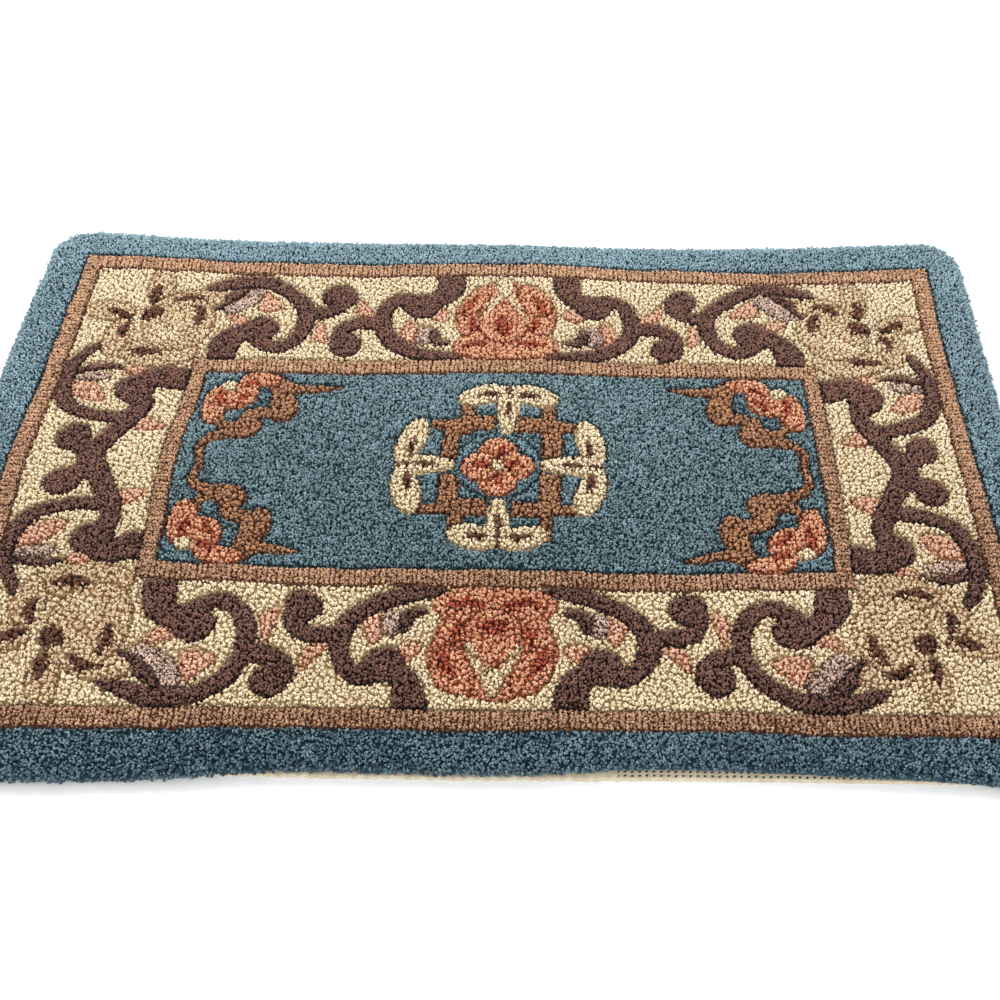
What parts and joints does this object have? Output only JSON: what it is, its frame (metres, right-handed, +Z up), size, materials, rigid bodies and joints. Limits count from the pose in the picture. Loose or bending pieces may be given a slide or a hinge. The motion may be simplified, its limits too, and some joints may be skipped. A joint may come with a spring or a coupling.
{
  "type": "tufted wool rug",
  "caption": "small rectangular tufted wool rug with shorn relief pattern, rounded corners and a canvas backing",
  "frame": {"origin": "middle of the rug's box on the floor it lies on", "axes": "+X along the length, +Y towards the back long side, +Z up"},
  "size_m": [0.9218, 0.605, 0.0158],
  "materials": {
    "wool": "cut wool pile, matt with a soft sheen",
    "canvas": "plain woven cotton canvas, matt"
  },
  "bodies": {
    "root": {"pile": "wool", "backing": "canvas"}
  },
  "joints": []
}
